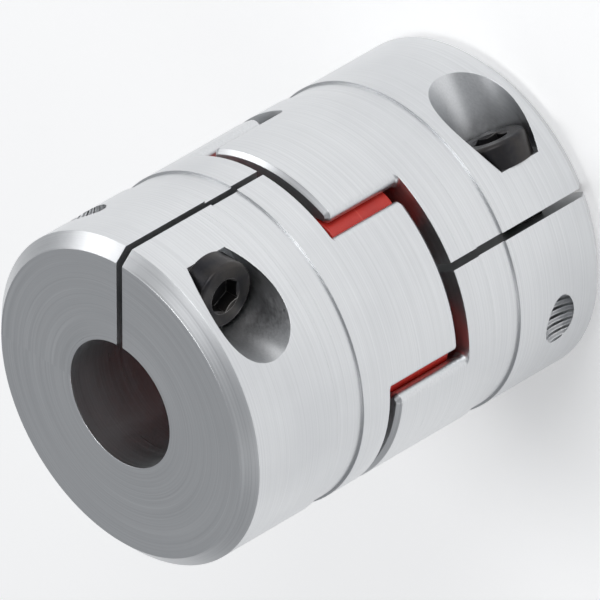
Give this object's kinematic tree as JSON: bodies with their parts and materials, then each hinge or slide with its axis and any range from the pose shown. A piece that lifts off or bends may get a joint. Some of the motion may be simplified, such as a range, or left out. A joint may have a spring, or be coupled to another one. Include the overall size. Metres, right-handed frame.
{
  "type": "jaw coupling",
  "caption": "Backlash-free shaft coupling: two split clamp hubs with interleaved curved jaws, an elastomer spider between them and a low-head clamp screw in each hub.",
  "frame": {"origin": "centre of the lower hub's end face, on the coupling's axis", "axes": "+Z along the coupling's axis, from the lower hub to the upper hub; +Y along the upper hub's slit; +X towards the head of the upper hub's screw"},
  "size_m": [0.065, 0.065, 0.09],
  "materials": {
    "hub_aluminium": "fine-turned bare aluminium",
    "spider_elastomer": "smooth, slightly translucent cast polyurethane",
    "screw_steel": "black-oxide alloy steel, lightly oiled"
  },
  "bodies": {
    "root": {"clamp_hub_lower": "hub_aluminium", "clamp_hub_upper": "hub_aluminium", "elastomer_spider": "spider_elastomer", "clamp_screw_lower": "screw_steel", "clamp_screw_upper": "screw_steel"}
  },
  "joints": []
}
